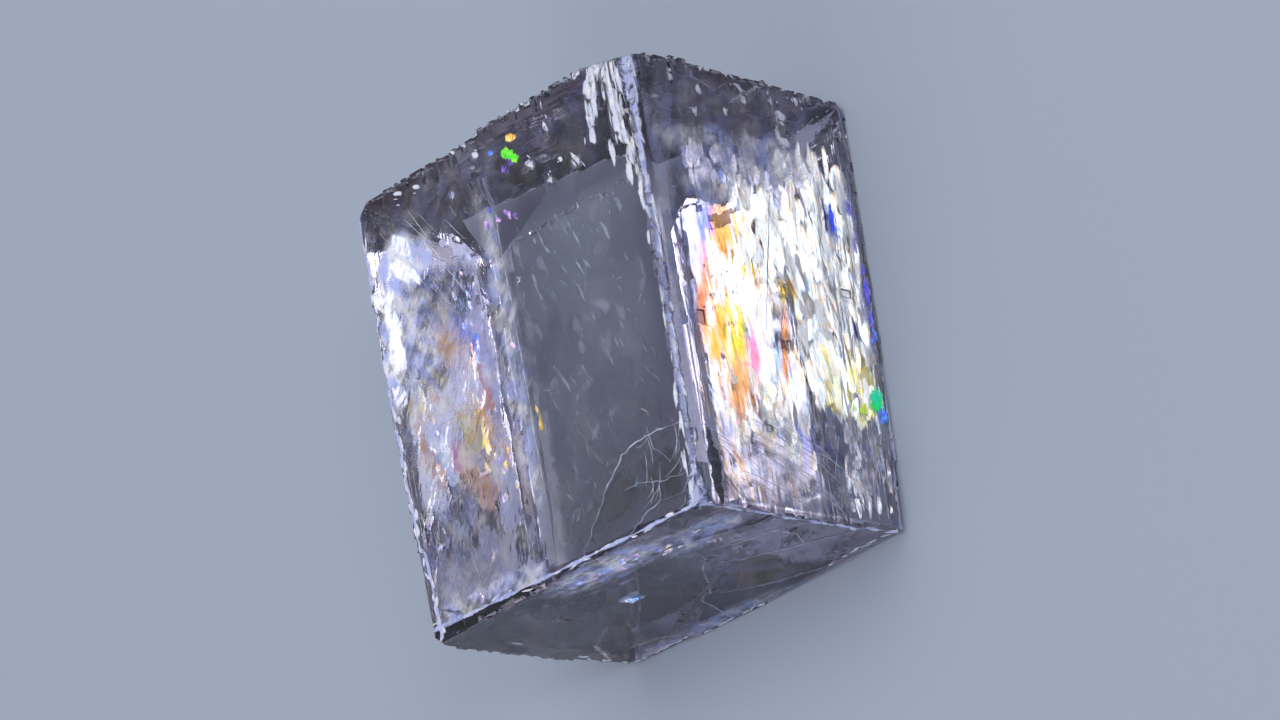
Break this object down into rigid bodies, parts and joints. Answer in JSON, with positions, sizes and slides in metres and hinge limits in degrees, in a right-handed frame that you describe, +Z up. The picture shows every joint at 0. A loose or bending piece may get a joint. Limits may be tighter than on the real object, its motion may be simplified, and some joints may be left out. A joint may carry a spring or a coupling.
{
  "type": "calcite cleavage rhomb",
  "caption": "Clear lilac calcite mineral specimen: a hand-sized leaning cleavage block with flat stepped faces, chipped edges and broken corners, for display on a flat surface.",
  "frame": {"origin": "on the surface the stone rests on, under the middle of its bounding box", "axes": "+Z up from the surface, +X along the longest edges, so +Y runs towards the back face; the blunt corner where three obtuse angles meet is top, front (-Y), left (-X)"},
  "size_m": [0.0404, 0.0308, 0.0187],
  "materials": {
    "clear_calcite": "gloss"
  },
  "bodies": {
    "root": {"calcite_rhomb": "clear_calcite"}
  },
  "joints": []
}
